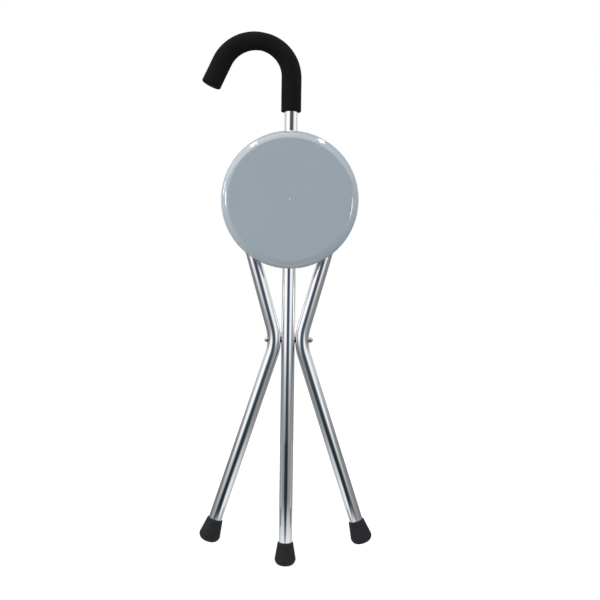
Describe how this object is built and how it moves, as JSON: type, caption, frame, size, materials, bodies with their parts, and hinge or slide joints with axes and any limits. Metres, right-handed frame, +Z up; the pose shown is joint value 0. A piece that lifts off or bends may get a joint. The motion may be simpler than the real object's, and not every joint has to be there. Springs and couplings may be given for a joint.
{
  "type": "walking stick seat",
  "caption": "Folded walking stick seat: foam crook handle, chromed tube with bent side legs crossing at a waist bolt, and a round plastic seat hooked flat in front.",
  "frame": {"origin": "middle of the stick's rubber tip, on the floor that it stands on", "axes": "+Z up the stick, +X to the right of someone who faces the seat, -Y out of the seat's top face; folded, as carried"},
  "size_m": [0.2881, 0.0509, 0.8762],
  "materials": {
    "chromed_tube": "bright chromed steel tube",
    "black_foam": "matte black foam",
    "black_rubber": "black moulded rubber with a soft sheen",
    "seat_plastic": "glossy blue-grey moulded plastic",
    "nylon": "black moulded nylon",
    "zinc_plated_steel": "zinc-plated steel",
    "bracket_steel": "black painted steel plate"
  },
  "bodies": {
    "cane": {"cane_tube": "chromed_tube", "foam_grip": "black_foam", "handle_plug": "nylon", "cane_ferrule": "black_rubber", "cane_insert": "zinc_plated_steel", "pivot_bush": "zinc_plated_steel", "catch_bracket": "bracket_steel", "catch_rod": "bracket_steel", "catch_rivets": "bracket_steel"},
    "legs": {"left_leg": "chromed_tube", "right_leg": "chromed_tube", "left_leg_end": "nylon", "right_leg_end": "nylon", "leg_end_pins": "zinc_plated_steel", "left_ferrule": "black_rubber", "right_ferrule": "black_rubber", "left_insert": "zinc_plated_steel", "right_insert": "zinc_plated_steel", "pivot_bolt": "zinc_plated_steel", "pivot_nut": "zinc_plated_steel", "pivot_spacers": "nylon", "pivot_washers": "zinc_plated_steel"},
    "seat": {"seat_shell": "seat_plastic", "left_hinge_bracket": "bracket_steel", "right_hinge_bracket": "bracket_steel", "bracket_screws": "zinc_plated_steel", "hinge_bolts": "zinc_plated_steel", "hinge_washers": "zinc_plated_steel", "hinge_nuts": "zinc_plated_steel", "seat_hook": "bracket_steel", "hook_screws": "zinc_plated_steel"}
  },
  "joints": [
    {"name": "leg_fold", "type": "hinge", "parent": "cane", "child": "legs", "pos_m": [0, 0, 0.37], "axis": [1, 0, 0], "range_deg": [0, 56]},
    {"name": "seat_fold", "type": "hinge", "parent": "legs", "child": "seat", "pos_m": [0, 0, 0.545], "axis": [1, 0, 0], "range_deg": [-112, 0]}
  ],
  "couplings": [
    {"joint": "seat_fold", "follows": "leg_fold", "ratio": -2}
  ]
}
